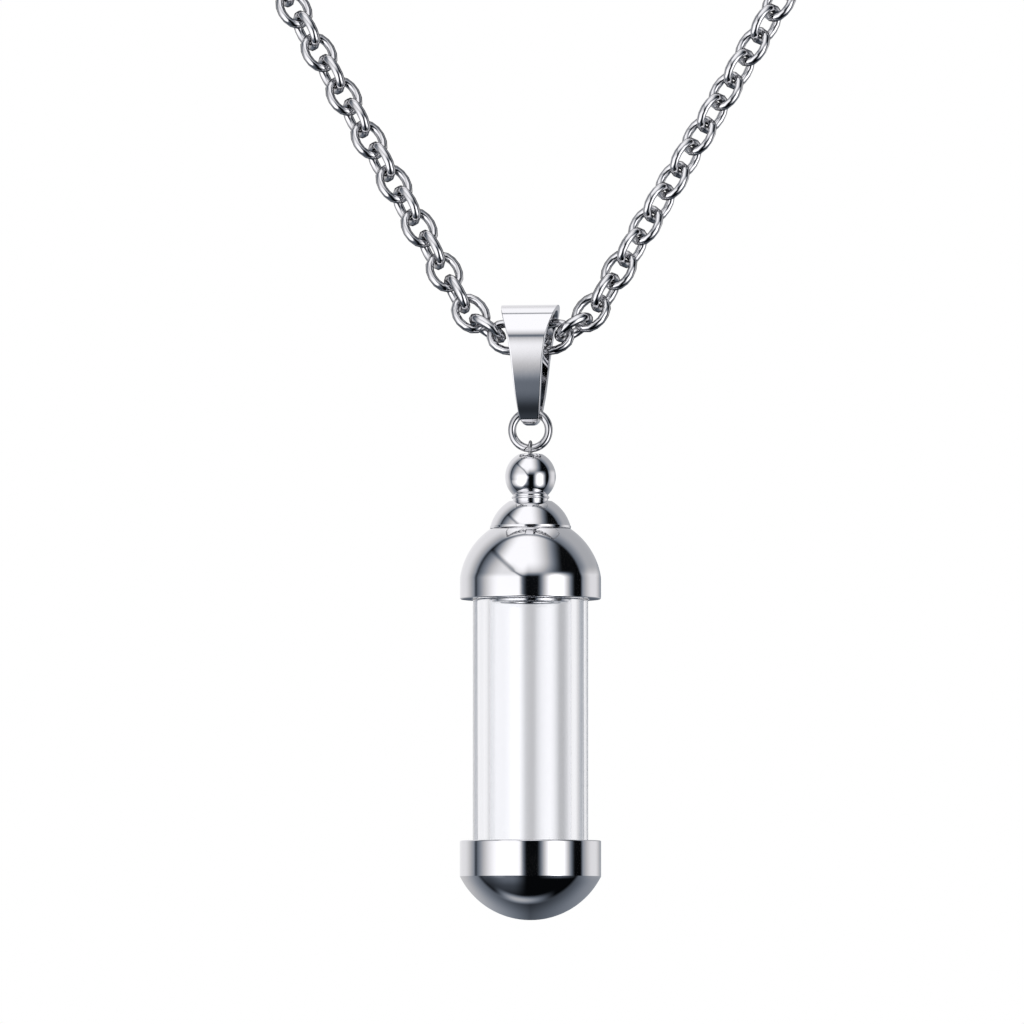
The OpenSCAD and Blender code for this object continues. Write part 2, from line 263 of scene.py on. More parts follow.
# Left, cut away towards its lower right corner
LEFT_POWER, LEFT_RIM, LEFT_INNER, LEFT_SEAM = 1.55, (0.414, 0.804), (-0.165, -0.035), (-0.045, 0.035)
LEFT_FOOT, LEFT_TOP, LEFT_TOP_POWER = (-0.47, -0.33), (-0.05, 0.21), 0.67
CUT_BEND, CUT_DEPTH, CUT_STEP, CUT_STEP_DEPTH = 1.6, 0.92, (-0.02, 0.04), 0.018
below = kit.maths("MAXIMUM", kit.times(up, -1.0), 0.0)
cut_away = kit.plus(
    kit.times(kit.maths("POWER", below, CUT_BEND), CUT_DEPTH),
    kit.edge(up, *CUT_STEP, 0.0, CUT_STEP_DEPTH),
)
left_box = kit.times(
    kit.falls(rim, *LEFT_RIM),
    kit.falls(kit.plus(across, cut_away), *LEFT_INNER),
    kit.falls(slant, *LEFT_SEAM),
    kit.edge(up, *LEFT_TOP, 1.0, LEFT_TOP_POWER),
    kit.edge(up, *LEFT_FOOT),
    LEFT_POWER,
)

# Right, the brightest
RIGHT_POWER, RIGHT_INNER, RIGHT_OUTER = 3.0, (0.09, 0.42), (0.32, 0.63)
RIGHT_TOP, RIGHT_FOOT = (0.0, 0.246), (-0.47, -0.24)
right_box = kit.times(
    kit.edge(across, *RIGHT_INNER),
    kit.falls(across, *RIGHT_OUTER),
    kit.falls(up, *RIGHT_TOP),
    kit.edge(up, *RIGHT_FOOT),
    RIGHT_POWER,
)
print("softboxes: left", LEFT_POWER, "right", RIGHT_POWER, "overhead", OVERHEAD_POWER)

# %% [markdown]
# Under the left softbox some light leaks in and makes a dim glow on the floor of the tent. They
# could be left out, but then the dome of the bottom cap would mirror only the black gap there.

# %% Studio light: the leak and the floor's glow
LEAK_RIGHT, LEAK_FOOT, LEAK_TOP, LEAK_POWER = (-0.2, -0.03), (-0.41, -0.27), (-0.2, -0.1), 0.36
GLOW_LEFT, GLOW_LEFT_POWER, GLOW_RIGHT, GLOW_TOP = (-0.55, -0.3), 0.35, (-0.24, -0.04), (-0.45, -0.35)
GLOW_WIDE, GLOW_WIDE_POWER, GLOW_NEAR, GLOW_NEAR_POWER = (-0.75, -0.5), 0.08, (-0.56, -0.44), 0.11
GAP_POWER = 0.003

leak = kit.times(
    kit.falls(across, *LEAK_RIGHT),
    kit.edge(up, *LEAK_FOOT, 0.0, LEAK_POWER),
    kit.falls(up, *LEAK_TOP),
)
floor_glow = kit.times(
    kit.edge(across, *GLOW_LEFT, GLOW_LEFT_POWER, 1.0),
    kit.falls(across, *GLOW_RIGHT),
    kit.plus(
        kit.edge(up, *GLOW_WIDE, 0.0, GLOW_WIDE_POWER),
        kit.edge(up, *GLOW_NEAR, 0.0, GLOW_NEAR_POWER),
    ),
    kit.falls(up, *GLOW_TOP),
)
front = kit.plus(overhead, left_box, right_box, leak, floor_glow, GAP_POWER)
print("the black gap keeps", GAP_POWER, "of the paper's white")

# %% [markdown]
# The sheet behind shows near the outline of every round piece. It is brightest over the top,
# dimmer at the upper right, and dark below, where it curves under the piece. Its right-hand end
# lies in shade, which draws a thin dark line down each right-hand edge. One even grey would be
# simpler, but every outline would then look the same all the way round.

# %% Studio light: the sheet behind
SHEET_INNER, SHEET_POWER, SHEET_FULL = 0.36, 0.97, 0.9
UPPER_RIGHT_ACROSS, UPPER_RIGHT_UP, UPPER_RIGHT_POWER = (0.1, 0.45), (0.08, 0.35), 0.55
MIDDLE_LEFT, MIDDLE_RIGHT = (-0.42, -0.2), (0.1, 0.4)
TOP_START, TOP_FADE, TOP_POWER = (0.64, 0.75), (0.86, 0.94), 1.3
LOW_SLOPE, LOW_LEFT_SLOPE, LOW_POWER = 0.34, -0.367, 0.095
LOW_INNER, LOW_FULL, LOW_TO_SHEET = 0.35, 0.957, (-0.551, -0.11)
SHADE, SHADE_POWER = (0.91, 1.02), 0.2

sheet = kit.edge(rim, EDGE, SHEET_FULL, SHEET_INNER, SHEET_POWER)
upper_right = kit.times(kit.edge(across, *UPPER_RIGHT_ACROSS), kit.edge(up, *UPPER_RIGHT_UP))
sheet = kit.times(sheet, kit.edge(upper_right, 0.0, 1.0, 1.0, UPPER_RIGHT_POWER))
middle = kit.times(kit.edge(across, *MIDDLE_LEFT), kit.falls(across, *MIDDLE_RIGHT))
over_the_top = kit.times(kit.edge(up, *TOP_START), middle)
sheet = kit.between(over_the_top, sheet, kit.edge(up, *TOP_FADE, TOP_POWER, SHEET_POWER))
sheet_low = kit.plus(
    kit.times(kit.maths("ABSOLUTE", across), LOW_SLOPE),
    kit.times(kit.maths("MINIMUM", across, 0.0), LOW_LEFT_SLOPE),
    LOW_POWER,
)
sheet_low = kit.times(sheet_low, kit.edge(rim, EDGE, LOW_FULL, LOW_INNER, 1.0))
sheet = kit.between(kit.edge(up, *LOW_TO_SHEET), sheet_low, sheet)
sheet = kit.times(sheet, kit.edge(across, *SHADE, 1.0, SHADE_POWER))
brightness = kit.between(behind, front, sheet)
print("the sheet behind reaches", TOP_POWER, "over the top and", LOW_POWER, "below")

# %% [markdown]
# Two things are laid over this. A dark seam follows the edge of the tent, and a bright fold of
# the sheet lies under the piece: the smile on the bottom cap. The seam takes light away and the
# fold adds some, so each can be changed without touching what lies under it.

# %% Studio light: the seam and the fold
SEAM_IN, SEAM_OUT, SEAM_TOP, SEAM_DEPTH, SEAM_TOP_DEPTH = 0.035, 0.03, (0.5, 0.7), 0.6, 0.75
seam = kit.times(kit.edge(rim, EDGE - SEAM_IN, EDGE), kit.falls(rim, EDGE, EDGE + SEAM_OUT))
seam_top = kit.times(kit.edge(up, *SEAM_TOP), middle)
seam_depth = kit.edge(seam_top, 0.0, 1.0, SEAM_DEPTH, SEAM_TOP_DEPTH)
brightness = kit.times(brightness, kit.less(1.0, kit.times(seam, seam_depth)))

FOLD_INNER, FOLD_OUTER, FOLD_TOP, FOLD_POWER = (0.67, 0.733), (0.733, 0.795), (-0.6, -0.4), 0.55
FOLD_LEFT, FOLD_RIGHT = (-0.463, -0.179), (-0.154, 0.32)
fold = kit.times(
    kit.edge(rim, *FOLD_INNER),
    kit.falls(rim, *FOLD_OUTER),
    kit.edge(across, *FOLD_LEFT),
    kit.falls(across, *FOLD_RIGHT),
    kit.falls(up, *FOLD_TOP),
    FOLD_POWER,
)
brightness = kit.plus(brightness, fold)
print("the seam takes", SEAM_DEPTH, "of the light, the fold adds", FOLD_POWER)

# %% [markdown]
# Dim light in the tent is bluer than bright light, so a tint follows the brightness. One sky
# for every ray would be simpler, but then the background would show the softboxes. So rays that
# have met steel see the painted tent, and all others see plain white paper, which lights the
# scene and is the background. Through the glass the paper shows two soft grey folds to its
# right. `bearing` is the angle to the right of the view, in degrees.

# %% Studio light: put together
DIM_TINT, BRIGHT_TINT, TINT_FULL = (0.78, 0.92, 1.14, 1), (0.985, 0.98, 1.0, 1), 0.7
WHITE, GLASS_TINT = (1, 1, 1, 1), (0.98, 0.975, 1.0, 1)
NEAR_START, NEAR_STEP, NEAR_AFTER, NEAR_END = (-3.6, 0.3), (0.3, 3.6), 0.36, (4, 30)
NEAR_DEPTH, FAR_START, FAR_END, FAR_DEPTH = 0.36, (6.0, 14.0), (16.0, 40.0), 0.38
MET_STEEL = 0.5

painted = kit.node("ShaderNodeBackground")
tint = kit.mixed_colour(kit.edge(brightness, 0.0, TINT_FULL), DIM_TINT, BRIGHT_TINT)
kit.feed(painted.inputs["Color"], tint)
kit.feed(painted.inputs["Strength"], brightness)

bearing = kit.maths("ARCTAN2", kit.dot(direction, camera_right), kit.times(towards, -1.0))
bearing = kit.times(bearing, 180 / math.pi)
fold_near = kit.times(
    kit.edge(bearing, *NEAR_START),
    kit.edge(bearing, *NEAR_STEP, 1.0, NEAR_AFTER),
    kit.falls(bearing, *NEAR_END),
    NEAR_DEPTH,
)
fold_far = kit.times(kit.edge(bearing, *FAR_START), kit.falls(bearing, *FAR_END), FAR_DEPTH)
rays = kit.node("ShaderNodeLightPath")
through_glass = rays.outputs["Is Transmission Ray"]
plain = kit.node("ShaderNodeBackground")
backdrop = kit.less(1.0, kit.plus(fold_near, fold_far))
kit.feed(plain.inputs["Color"], kit.mixed_colour(through_glass, WHITE, GLASS_TINT))
kit.feed(plain.inputs["Strength"], kit.between(through_glass, 1.0, backdrop))

mixed = kit.node("ShaderNodeMixShader")
kit.feed(mixed.inputs[0], kit.maths("GREATER_THAN", rays.outputs["Glossy Depth"], MET_STEEL))
kit.feed(mixed.inputs[1], plain.outputs[0])
kit.feed(mixed.inputs[2], painted.outputs[0])
kit.feed(kit.node("ShaderNodeOutputWorld").inputs["Surface"], mixed.outputs[0])
print("the sky has", len(world.node_tree.nodes), "nodes")

# %% [markdown]
# The necklace hangs in the air, and a plain pale floor lies a few centimetres below it, out of
# the photograph's view. A backdrop that curves up would do as well, but the white sky behind is
# backdrop enough. The floor is hidden from reflections, so that the bottom cap shows the tent
# as it does in the photograph.

# %% Floor
FLOOR_DROP, FLOOR_HALF = 30, 1.5
FLOOR_COLOUR, FLOOR_ROUGHNESS = (0.94, 0.94, 0.95, 1), 0.8

floor_z = tip_z - FLOOR_DROP * MM
corners = [(x * FLOOR_HALF, y * FLOOR_HALF) for x, y in ((-1, -1), (1, -1), (1, 1), (-1, 1))]
floor_mesh = bpy.data.meshes.new("floor")
floor_mesh.from_pydata([(x, axis_y + y, floor_z) for x, y in corners], [], [(0, 1, 2, 3)])
floor_paper = bpy.data.materials.new("pale_floor")
floor_paper.use_nodes = True
floor_shader = floor_paper.node_tree.nodes["Principled BSDF"]
floor_shader.inputs["Base Color"].default_value = FLOOR_COLOUR
floor_shader.inputs["Roughness"].default_value = FLOOR_ROUGHNESS
floor_mesh.materials.append(floor_paper)
floor = bpy.data.objects.new("floor", floor_mesh)
bpy.context.scene.collection.objects.link(floor)
floor.visible_glossy = False
floor.visible_transmission = False
floor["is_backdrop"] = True
print("floor lies", FLOOR_DROP, "mm under the tip")

# %% [markdown]
# Polished stainless steel is a metal with a slightly grey reflection. Real polish is not
# perfect: fine buffing marks and skin oil make some patches a touch duller. An image could hold
# them, but noise needs no file and no unwrapping: a low, slow one moves the roughness by a few
# hundredths, and a very fine one gives a hint of bump.
# The chain is tumbled and not buffed, so it is a little rougher. Wire is also darker where we
# look along its surface, which gives the ring and each link a fine dark outline. The eye gets
# a darker, duller steel: painted shade, which keeps the eye from mirroring the bright tent
# where it sits between the ring and the ball.

# %% Steel finishes
PATCH_LOW, PATCH_HIGH, PATCH_DETAIL = 0.35, 0.7, 3.0
BUMP_DISTANCE, EDGE_BLUE = 0.00002, 1.03


def steel(name, colour, edge_tint, dull, patch_mm, grain_mm, grain):
    """A polished steel whose roughness wanders between the two values of dull."""
    made = bpy.data.materials.new(name)
    made.use_nodes = True
    tree = NodeKit(made.node_tree)
    shader = made.node_tree.nodes["Principled BSDF"]
    shader.inputs["Base Color"].default_value = (*colour, 1)
    shader.inputs["Metallic"].default_value = 1.0
    shader.inputs["Specular Tint"].default_value = (edge_tint, edge_tint, edge_tint * EDGE_BLUE, 1)
    place = tree.node("ShaderNodeTexCoord").outputs["Object"]
    patches = tree.node("ShaderNodeTexNoise")
    tree.feed(patches.inputs["Vector"], place)
    tree.feed(patches.inputs["Scale"], 1 / (patch_mm * MM))
    tree.feed(patches.inputs["Detail"], PATCH_DETAIL)
    tree.feed(shader.inputs["Roughness"], tree.edge(patches.outputs[0], PATCH_LOW, PATCH_HIGH, *dull))
    fine = tree.node("ShaderNodeTexNoise")
    tree.feed(fine.inputs["Vector"], place)
    tree.feed(fine.inputs["Scale"], 1 / (grain_mm * MM))
    bump = tree.node("ShaderNodeBump")
    bump.inputs["Strength"].default_value = grain
    bump.inputs["Distance"].default_value = BUMP_DISTANCE
    tree.feed(bump.inputs["Height"], fine.outputs[0])
    tree.feed(shader.inputs["Normal"], bump.outputs[0])
    return made


buffed_steel = steel(
    "buffed_steel", colour=(0.72, 0.72, 0.735), edge_tint=1.0, dull=(0.035, 0.07),
    patch_mm=3.0, grain_mm=0.5, grain=0.03,
)
chain_steel = steel(
    "tumbled_chain_steel", colour=(0.66, 0.66, 0.675), edge_tint=0.03, dull=(0.06, 0.12),
    patch_mm=1.2, grain_mm=0.25, grain=0.08,
)
wire_steel = steel(
    "polished_wire_steel", colour=(0.58, 0.58, 0.595), edge_tint=0.03, dull=(0.04, 0.08),
    patch_mm=1.2, grain_mm=0.25, grain=0.05,
)
# A darker, duller steel for the eye on the ball: painted shade where the eye sits between the ring and
# the ball
eye_steel_painted_shade = steel(
    "eye_steel_painted_shade", colour=(0.5, 0.5, 0.51), edge_tint=0.1, dull=(0.14, 0.24),
    patch_mm=0.6, grain_mm=0.15, grain=0.2,
)
finishes = (buffed_steel, chain_steel, wire_steel, eye_steel_painted_shade)
print("steel finishes:", ", ".join(m.name for m in finishes))

# %% [markdown]
# The tube is plain clear glass. Full transmission in the Principled shader does it. A slight
# blue-grey tint and a faint ripple along the tube, from drawing the glass, are all that sets it
# apart from an ideal one. The ripple is a noise that is stretched along the height.

# %% Glass
GLASS_COLOUR, GLASS_IOR = (0.985, 0.99, 1.0, 1), 1.47
RIPPLES_ROUND, RIPPLES_UP, RIPPLE_STRENGTH, RIPPLE_DISTANCE = 900, 25, 0.05, 0.00005

clear_glass = bpy.data.materials.new("clear_drawn_glass")
clear_glass.use_nodes = True
glass_kit = NodeKit(clear_glass.node_tree)
glass_shader = clear_glass.node_tree.nodes["Principled BSDF"]
glass_shader.inputs["Base Color"].default_value = GLASS_COLOUR
glass_shader.inputs["Transmission Weight"].default_value = 1.0
glass_shader.inputs["IOR"].default_value = GLASS_IOR
glass_shader.inputs["Roughness"].default_value = 0.0
stretch = glass_kit.node("ShaderNodeMapping")
stretch.inputs["Scale"].default_value = (RIPPLES_ROUND, RIPPLES_ROUND, RIPPLES_UP)
glass_kit.feed(stretch.inputs["Vector"], glass_kit.node("ShaderNodeTexCoord").outputs["Object"])
draw_lines = glass_kit.node("ShaderNodeTexNoise")
glass_kit.feed(draw_lines.inputs["Vector"], stretch.outputs[0])
glass_kit.feed(draw_lines.inputs["Scale"], 1.0)
glass_bump = glass_kit.node("ShaderNodeBump")
glass_bump.inputs["Strength"].default_value = RIPPLE_STRENGTH
glass_bump.inputs["Distance"].default_value = RIPPLE_DISTANCE
glass_kit.feed(glass_bump.inputs["Height"], draw_lines.outputs[0])
glass_kit.feed(glass_shader.inputs["Normal"], glass_bump.outputs[0])
print("glass bends light with an index of", GLASS_IOR)

# %% [markdown]
# A lathe makes the caps, the plug and the tube, and the same idea makes them here: an outline
# of radius and height is swung round the axis. First come the outlines, with arcs for their
# round stretches. Sharp corners of a polished piece are never truly sharp, so `eased` rounds
# those that catch the light, which gives each rim its thin bright line. A Bevel modifier could
# ease them as well, but here each corner is chosen by its place in the outline.

# %% Outline helpers
EASE_STEPS, GUARD_SHARE = 5, 0.3


def arc(centre_r, centre_z, radius, start, end, steps):
    """Points of an arc, with angles in degrees from the outward direction, upwards."""
    turns = [math.radians(start + (end - start) * i / steps) for i in range(steps + 1)]
    return [(centre_r + radius * math.cos(t), centre_z + radius * math.sin(t)) for t in turns]


def eased(outline, corners, radius, steps=EASE_STEPS):
    """Rounds the corners of a closed outline whose places in the list are in corners.

    A guard point on each side keeps the shading of the flat next to the corner flat.
    """
    made = []
    for i, here in enumerate(outline):
        if i not in corners:
            made.append(here)
            continue
        p = Vector(here)
        back = (Vector(outline[i - 1]) - p).normalized()
        on = (Vector(outline[(i + 1) % len(outline)]) - p).normalized()
        half = back.angle(on) / 2
        reach = radius / math.tan(half)
        a, b = p + back * reach, p + on * reach
        guard = GUARD_SHARE * reach
        made.append(tuple(a + back * guard))
        centre = p + (back + on).normalized() * radius / math.sin(half)
        from_a, from_b = a - centre, b - centre
        for k in range(steps + 1):
            v = from_a.lerp(from_b, k / steps).normalized() * radius
            made.append(tuple(centre + v))
        made.append(tuple(b + on * guard))
    return made


square = [(1, 0), (2, 0), (2, 1), (1, 1)]
print("a square with eased corners has", len(eased(square, {0, 1, 2, 3}, 0.1)), "points")

# %% [markdown]
# Now an outline is swung round the axis. A Screw modifier would do it too, but here a point on
# the axis stays a single point, so the poles are closed as we go.

# %% Swing an outline round the axis
TURN_STEPS, ON_AXIS = 256, 1e-6


def turned(outline):
    """Vertices and faces of a closed outline swung round the pendant's axis."""
    points, faces, rows = [], [], []
    for r, z in outline:
        if r < ON_AXIS:
            rows.append([len(points)] * TURN_STEPS)
            points.append(spot(0, 0, z))
            continue
        rows.append(list(range(len(points), len(points) + TURN_STEPS)))
        for k in range(TURN_STEPS):
            t = 2 * math.pi * k / TURN_STEPS
            points.append(spot(r * math.cos(t), r * math.sin(t), z))
    for low, high in zip(rows, rows[1:] + rows[:1]):
        if low[0] == low[1] and high[0] == high[1]:
            continue
        for k in range(TURN_STEPS):
            n = (k + 1) % TURN_STEPS
            face = [low[k], low[n], high[n], high[k]]
            faces.append(tuple(dict.fromkeys(face)))
    return points, faces


print("the square swung round the axis has", len(turned(square)[1]), "faces")

# %% [markdown]
# Every piece ends in the same way. `finish_piece` builds one mesh from its parts, turns the
# faces outwards, smooths the shading except at sharp edges, and hands the piece to its CAD
# body. Weighted normals let the broad flats of a piece win over its narrow eased corners, as
# they do on real buffed metal. Each piece could repeat these lines, but one function keeps the
# pieces alike.

# %% Finish a piece
MERGE_WITHIN, CREASE = 1e-8, 35


def finish_piece(name, parts, materials, body, nodes, crease=CREASE):
    """One object from parts, each a list of vertices and one of faces, with a material each."""
    build = bmesh.new()
    for index, (points, faces) in enumerate(parts):
        verts = [build.verts.new(p) for p in points]
        for f in faces:
            if len(set(f)) > 2:
                build.faces.new([verts[i] for i in dict.fromkeys(f)]).material_index = index
    bmesh.ops.remove_doubles(build, verts=build.verts, dist=MERGE_WITHIN)
    bmesh.ops.recalc_face_normals(build, faces=build.faces)
    mesh = bpy.data.meshes.new(name)
    build.to_mesh(mesh)
    build.free()
    mesh.shade_smooth()
    mesh.set_sharp_from_angle(angle=math.radians(crease))
    for material in materials:
        mesh.materials.append(material)
    made = bpy.data.objects.new(name, mesh)
    bpy.context.scene.collection.objects.link(made)
    even = made.modifiers.new("even_shading", "WEIGHTED_NORMAL")
    even.keep_sharp = True
    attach(made, body)
    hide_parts(*nodes)
    print(name, len(mesh.polygons), "faces, replaces", ", ".join(nodes))


print("edges sharper than", CREASE, "degrees stay sharp, unless a piece says otherwise")

# %% [markdown]
# The bottom cap is a short wall with a shallow dome under it and a recess for the glass. It
# could be cut from a cylinder and a sphere, but its outline is only an arc and four points. The
# crease between wall and dome stays crisp, because the two reflect quite different things: the
# wall shows the softboxes and the dome the dark underside of the tent.

# %% Bottom cap
CAP_R, RIM_EASE = 6.0, 0.12
BASE_RIM_Z, BASE_DOME_R, BASE_CREASE = 6.76, 6.699, 12
SEAT_R, SEAT_DEPTH, DOME_STEPS = 4.96, 2.16, 48

dome_turn = math.degrees(math.asin(CAP_R / BASE_DOME_R))
base_dome = arc(0, BASE_DOME_R, BASE_DOME_R, -90, -90 + dome_turn, DOME_STEPS)
base_dome[0] = (0, 0)
base_floor_z = BASE_RIM_Z - SEAT_DEPTH
base_rim = [(CAP_R, BASE_RIM_Z), (SEAT_R, BASE_RIM_Z), (SEAT_R, base_floor_z), (0, base_floor_z)]
rim_at = len(base_dome)
finish_piece(
    "bottom_cap_polished",
    [turned(eased(base_dome + base_rim, {rim_at, rim_at + 1}, RIM_EASE))],
    [buffed_steel], "vial", ["bottom_cap"], BASE_CREASE,
)

# %% [markdown]
# The top cap has a wall that was buffed over into a high dome, so a small arc blends the two.
# A flat seat cuts the dome off under the plug. Inside the cap a short spigot goes into the
# glass, and its lower end shows through the tube as a dark crescent. A hard corner between wall
# and dome would be simpler, but it would break the reflection of the softboxes in two.

# %% Top cap
HEAD_RIM_Z, HEAD_DOME_Z, HEAD_DOME_R, HEAD_TOP_Z, HEAD_CREASE = 27.26, 28.26, 6.06, 33.242, 30
SPIGOT_R, SPIGOT_Z, FILL_R, BLEND_R, BLEND_STEPS = 3.3, 26.96, 2.5, 2.5, 10

seat_turn = math.degrees(math.asin((HEAD_TOP_Z - HEAD_DOME_Z) / HEAD_DOME_R))
blend_up = math.sqrt((HEAD_DOME_R - BLEND_R) ** 2 - (CAP_R - BLEND_R) ** 2)
blend_turn = math.degrees(math.atan2(blend_up, CAP_R - BLEND_R))
head_dome = arc(CAP_R - BLEND_R, HEAD_DOME_Z + blend_up, BLEND_R, 0, blend_turn, BLEND_STEPS)
head_dome += arc(0, HEAD_DOME_Z, HEAD_DOME_R, blend_turn, seat_turn, DOME_STEPS)[1:]
head_seat_z = HEAD_RIM_Z + SEAT_DEPTH
head_outline = [
    (FILL_R, SPIGOT_Z),
    (SPIGOT_R, SPIGOT_Z),
    (SPIGOT_R, head_seat_z),
    (SEAT_R, head_seat_z),
    (SEAT_R, HEAD_RIM_Z),
    (CAP_R, HEAD_RIM_Z),
] + head_dome + [(FILL_R, HEAD_TOP_Z)]
finish_piece(
    "top_cap_polished",
    [turned(eased(head_outline, {0, 1, 4, 5}, RIM_EASE))],
    [buffed_steel], "vial", ["top_cap"], HEAD_CREASE,
)
cad_top = (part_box("top_cap")[1].z - tip_z) / MM
print("top cap reaches", round(cad_top, 2), "mm in the CAD, written", HEAD_TOP_Z)

# %% [markdown]
# The glass tube is a thick-walled pipe. Its ends sit inside the caps. A single skin would be
# lighter, but only a closed solid bends light as glass does, so the wall is modelled with both
# its surfaces.

# %% Glass tube
TUBE_R, BORE_R, TUBE_IN_CAP, TUBE_EASE = 4.9, 3.5, 2.1, 0.2

glass_outline = [
    (BORE_R, BASE_RIM_Z - TUBE_IN_CAP),
    (TUBE_R, BASE_RIM_Z - TUBE_IN_CAP),
    (TUBE_R, HEAD_RIM_Z + TUBE_IN_CAP),
    (BORE_R, HEAD_RIM_Z + TUBE_IN_CAP),
]
finish_piece(
    "glass_tube_clear",
    [turned(eased(glass_outline, {0, 1, 2, 3}, TUBE_EASE))],
    [clear_glass], "vial", ["glass_tube"],
)

# %% [markdown]
# The eye and the jump ring are bent from round wire. A bevelled curve would make them as well,
# but a cut end needs a slant, so `tube_along` sets a circle of points on each point of a path
# and slides those of the two ends by `skew`.

# %% Wire helper


def tube_along(path, radius, sides, closed=True, skew=0.0):
    """Vertices and faces of a round wire along points in an upright plane that holds X or Y."""
    points, faces = [], []
    count = len(path)
    flat = (path[1] - path[0]).cross(path[count // 3] - path[0]).normalized()
    for i, p in enumerate(path):
        before = path[i - 1] if closed or i else p
        after = path[(i + 1) % count] if closed or i + 1 < count else p
        ahead = (after - before).normalized()
        out = ahead.cross(flat)
        slide = skew if not closed and i in (0, count - 1) else 0.0
        for k in range(sides):
            t = 2 * math.pi * k / sides
            away = out * math.cos(t) * radius
            points.append(p + away + flat * math.sin(t) * radius + ahead * slide * math.cos(t) * radius)
    for i in range(count if closed else count - 1):
        a, b = i * sides, ((i + 1) % count) * sides
        for k in range(sides):
            n = (k + 1) % sides
            faces.append((a + k, a + n, b + n, b + k))
    if not closed:
        faces.append(tuple(range(sides)))
        faces.append(tuple(range((count - 1) * sides, count * sides)))
    return points, faces


wire_turns = np.linspace(0, 2 * math.pi, 8, endpoint=False)
coarse_ring = tube_along([Vector((math.cos(t), 0, math.sin(t))) for t in wire_turns], 0.1, 6)
print("a ring of 8 points and 6 sides has", len(coarse_ring[1]), "faces")

# %% [markdown]
# The screw plug is one turned piece: thread, flange, small dome, neck with a thin bead, and
# the ball. The thread shows only when the vial is off, so its turns are drawn as plain rings
# and not as a helix. The flange has a wall of a fifth of a millimetre, which draws a thin white
# line over the seam. The eye on the ball is a ring of wire that was soldered on, so it belongs
# to the same piece, in a darker, duller steel of its own: painted shade, which keeps the eye
# from mirroring the bright tent where it sits between the ring and the ball.

# %% Screw plug
THREAD_R, THREAD_Z, THREAD_TURNS = 2.42, 29.812, 5
THREAD_PITCH, THREAD_DEPTH, THREAD_FLAT = 0.62, 0.28, 0.05
FLANGE_R, FLANGE_Z, FLANGE_WALL, FLANGE_EASE, FLANGE_EASE_STEPS = 3.45, 33.312, 0.2, 0.015, 3
SMALL_DOME_Z, SMALL_DOME_R, NECK_Z, NECK_R = 32.612, 3.5203, 35.612, 1.5
BEAD_UP, BEAD_R, BALL_Z, BALL_R, FLAT_R, PLUG_CREASE = 0.33, 0.11, 37.716, 2.16, 1.0, 30
EYE_Z, EYE_R, EYE_WIRE_R, EYE_STEPS, EYE_SIDES = 40.12, 0.57, 0.12, 64, 20
SMALL_DOME_STEPS, BEAD_STEPS, BALL_STEPS = 32, 12, 64

root_r = THREAD_R - THREAD_DEPTH
thread = []
for turn in range(THREAD_TURNS):
    crest_z = THREAD_Z + THREAD_PITCH * (turn + 0.5)
    thread += [
        (root_r, crest_z - THREAD_PITCH / 2),
        (THREAD_R, crest_z - THREAD_FLAT),
        (THREAD_R, crest_z + THREAD_FLAT),
    ]
thread += [(root_r, THREAD_Z + THREAD_PITCH * THREAD_TURNS), (root_r, FLANGE_Z)]

flange_top_z = FLANGE_Z + FLANGE_WALL
dome_start = math.degrees(math.asin((flange_top_z - SMALL_DOME_Z) / SMALL_DOME_R))
dome_end = math.degrees(math.asin((NECK_Z - SMALL_DOME_Z) / SMALL_DOME_R))
neck_turn = math.degrees(math.acos(NECK_R / BALL_R))
flat_turn = math.degrees(math.acos(FLAT_R / BALL_R))
plug_outline = (
    [(0, THREAD_Z)]
    + thread
    + [(FLANGE_R, FLANGE_Z), (FLANGE_R, flange_top_z)]
    + arc(0, SMALL_DOME_Z, SMALL_DOME_R, dome_start, dome_end, SMALL_DOME_STEPS)
    + [(NECK_R, NECK_Z)]
    + arc(NECK_R, NECK_Z + BEAD_UP, BEAD_R, -90, 90, BEAD_STEPS)
    + arc(0, BALL_Z, BALL_R, -neck_turn, flat_turn, BALL_STEPS)
    + [(0, BALL_Z + BALL_R * math.sin(math.radians(flat_turn)))]
)
flange_at = plug_outline.index((FLANGE_R, FLANGE_Z))
plug_outline = eased(plug_outline, {flange_at, flange_at + 1}, FLANGE_EASE, FLANGE_EASE_STEPS)
eye_turns = np.linspace(0, 2 * math.pi, EYE_STEPS, endpoint=False)
eye_path = [spot(0, EYE_R * math.cos(t), EYE_Z + EYE_R * math.sin(t)) for t in eye_turns]
# The eye takes the darker steel, which paints shade on it
finish_piece(
    "screw_plug_polished",
    [turned(plug_outline), tube_along(eye_path, EYE_WIRE_R * MM, EYE_SIDES)],
    [buffed_steel, eye_steel_painted_shade], "plug", ["screw_plug"], PLUG_CREASE,
)

# %% [markdown]
# The jump ring is a turn of round wire, cut slantwise so that it can be opened. A whole torus
# would be one click, but the cut shows as a fine dark line at the bottom of the ring, next to
# the eye.

# %% Jump ring
RING_Z, RING_R, RING_WIRE_R, RING_CREASE, RING_STEPS, RING_SIDES = 41.69, 1.57, 0.34, 50, 121, 28
SPLIT_TURN, SPLIT_MM, SPLIT_SKEW = -102.0, 0.1, -0.7

half_cut = math.degrees(SPLIT_MM / 2 / RING_R)
ring_ends = (SPLIT_TURN + half_cut, SPLIT_TURN + 360 - half_cut)
ring_turns = np.radians(np.linspace(*ring_ends, RING_STEPS))
ring_path = [spot(RING_R * math.cos(t), 0, RING_Z + RING_R * math.sin(t)) for t in ring_turns]
finish_piece(
    "jump_ring_wire",
    [tube_along(ring_path, RING_WIRE_R * MM, RING_SIDES, closed=False, skew=SPLIT_SKEW)],
    [wire_steel], "jump_ring", ["jump_ring"], RING_CREASE,
)

